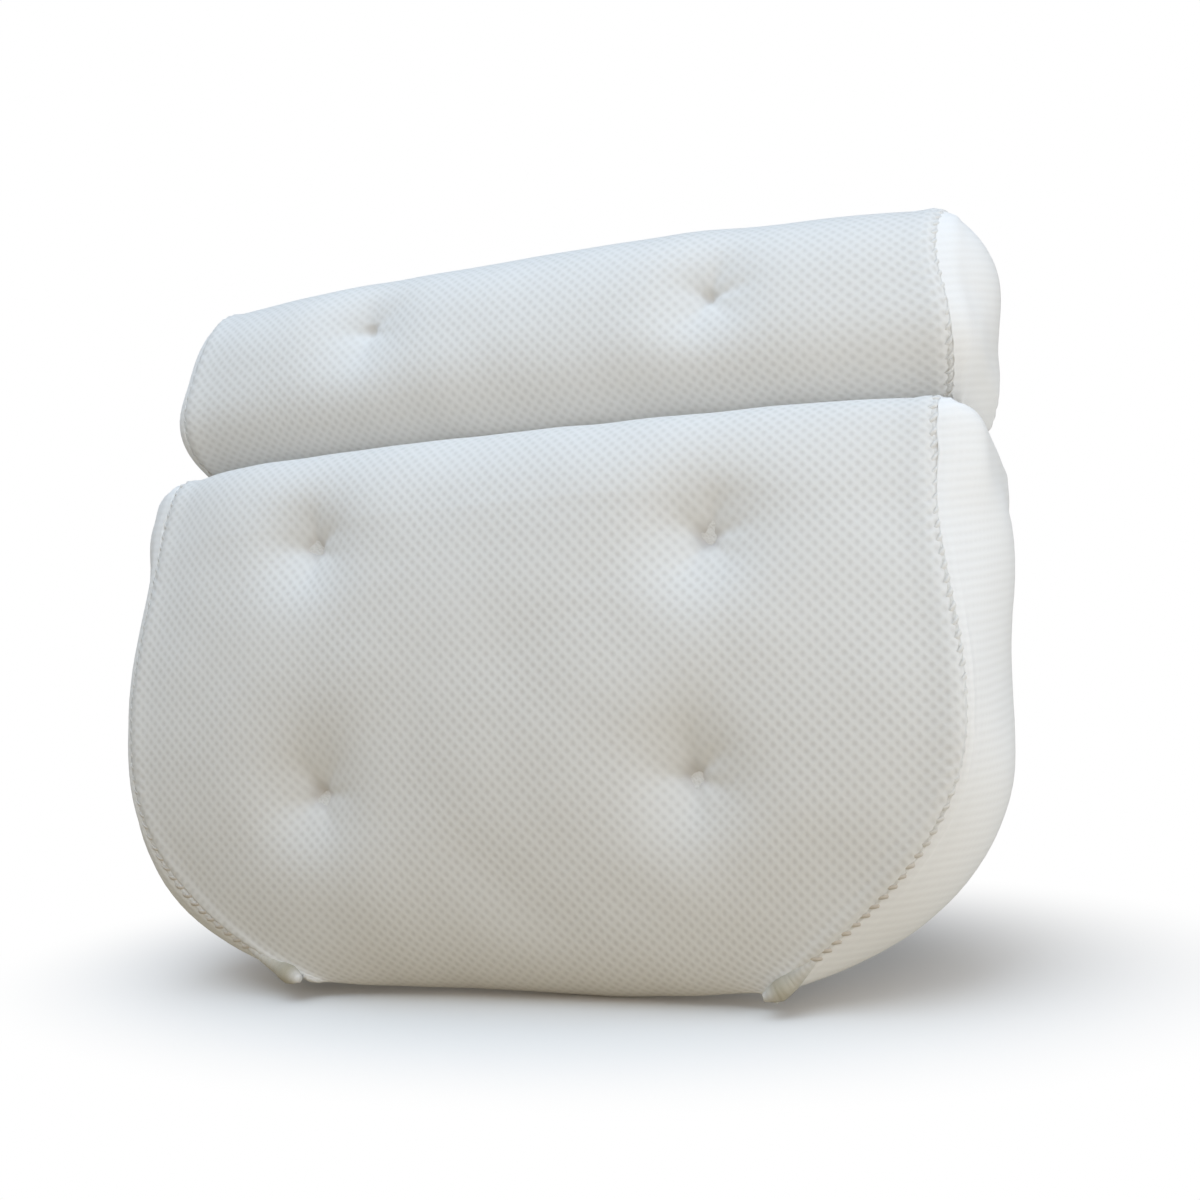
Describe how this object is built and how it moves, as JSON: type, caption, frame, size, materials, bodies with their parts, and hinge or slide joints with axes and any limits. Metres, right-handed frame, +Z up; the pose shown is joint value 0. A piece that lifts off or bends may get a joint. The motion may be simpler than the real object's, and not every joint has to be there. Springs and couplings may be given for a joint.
{
  "type": "bath pillow",
  "caption": "Bath pillow in white spacer mesh: a wide tufted shoulder pad and a head roll that fold at a seam, with suction cups behind.",
  "frame": {"origin": "on the plane of the bath's wall, in the middle of the six cups' rims", "axes": "+X to the right of the pillow seen from its face, -Y the way its face looks, +Z up; it leans back by 24 degrees"},
  "size_m": [0.381, 0.164, 0.2929],
  "materials": {
    "white_spacer_mesh": "matt knitted mesh",
    "white_seam_cord": "matt, overlocked",
    "fibre_filling": "loose white fibre",
    "tuft_thread": "waxed thread",
    "white_webbing": "woven tape",
    "clear_vinyl": "clear soft vinyl"
  },
  "bodies": {
    "shoulder_pad": {"shoulder_mesh_wrap": "white_spacer_mesh", "shoulder_filling": "fibre_filling", "shoulder_end_panel_right": "white_spacer_mesh", "shoulder_front_seam_cord_right": "white_seam_cord", "shoulder_back_seam_cord_right": "white_seam_cord", "shoulder_end_panel_left": "white_spacer_mesh", "shoulder_front_seam_cord_left": "white_seam_cord", "shoulder_back_seam_cord_left": "white_seam_cord", "shoulder_tuft_thread_upper_left": "tuft_thread", "shoulder_tuft_thread_upper_right": "tuft_thread", "shoulder_tuft_thread_lower_left": "tuft_thread", "shoulder_tuft_thread_lower_right": "tuft_thread", "fold_seam_cord": "white_seam_cord", "cup_tab_pad_upper_left": "white_webbing", "cup_tab_pad_upper_right": "white_webbing", "cup_tab_pad_lower_left": "white_webbing", "cup_tab_pad_lower_right": "white_webbing"},
    "head_roll": {"head_mesh_wrap": "white_spacer_mesh", "head_filling": "fibre_filling", "head_end_panel_right": "white_spacer_mesh", "head_front_seam_cord_right": "white_seam_cord", "head_back_seam_cord_right": "white_seam_cord", "head_end_panel_left": "white_spacer_mesh", "head_front_seam_cord_left": "white_seam_cord", "head_back_seam_cord_left": "white_seam_cord", "head_tuft_thread_left": "tuft_thread", "head_tuft_thread_right": "tuft_thread", "cup_tab_roll_left": "white_webbing", "cup_tab_roll_right": "white_webbing"},
    "cup_pad_upper_left": {"suction_cup_pad_upper_left": "clear_vinyl"},
    "cup_pad_upper_right": {"suction_cup_pad_upper_right": "clear_vinyl"},
    "cup_pad_lower_left": {"suction_cup_pad_lower_left": "clear_vinyl"},
    "cup_pad_lower_right": {"suction_cup_pad_lower_right": "clear_vinyl"},
    "cup_roll_left": {"suction_cup_roll_left": "clear_vinyl"},
    "cup_roll_right": {"suction_cup_roll_right": "clear_vinyl"}
  },
  "joints": [
    {"name": "section_fold", "type": "hinge", "parent": "shoulder_pad", "child": "head_roll", "pos_m": [0, 0.00291, 0.05424], "axis": [-1, 0, 0], "range_deg": [0, 120]},
    {"name": "cup_spin_pad_upper_left", "type": "hinge", "parent": "shoulder_pad", "child": "cup_pad_upper_left", "pos_m": [-0.1197, -0.0123, 0.0068], "axis": [0, 0.9135, -0.4067], "continuous": true},
    {"name": "cup_spin_pad_upper_right", "type": "hinge", "parent": "shoulder_pad", "child": "cup_pad_upper_right", "pos_m": [0.1197, -0.0123, 0.0068], "axis": [0, 0.9135, -0.4067], "continuous": true},
    {"name": "cup_spin_pad_lower_left", "type": "hinge", "parent": "shoulder_pad", "child": "cup_pad_lower_left", "pos_m": [-0.112, -0.05007, -0.07804], "axis": [0, 0.9135, -0.4067], "continuous": true},
    {"name": "cup_spin_pad_lower_right", "type": "hinge", "parent": "shoulder_pad", "child": "cup_pad_lower_right", "pos_m": [0.112, -0.05007, -0.07804], "axis": [0, 0.9135, -0.4067], "continuous": true},
    {"name": "cup_spin_roll_left", "type": "hinge", "parent": "head_roll", "child": "cup_roll_left", "pos_m": [-0.05006, 0.024, 0.08832], "axis": [0, 0.9135, -0.4067], "continuous": true},
    {"name": "cup_spin_roll_right", "type": "hinge", "parent": "head_roll", "child": "cup_roll_right", "pos_m": [0.05006, 0.024, 0.08832], "axis": [0, 0.9135, -0.4067], "continuous": true}
  ]
}
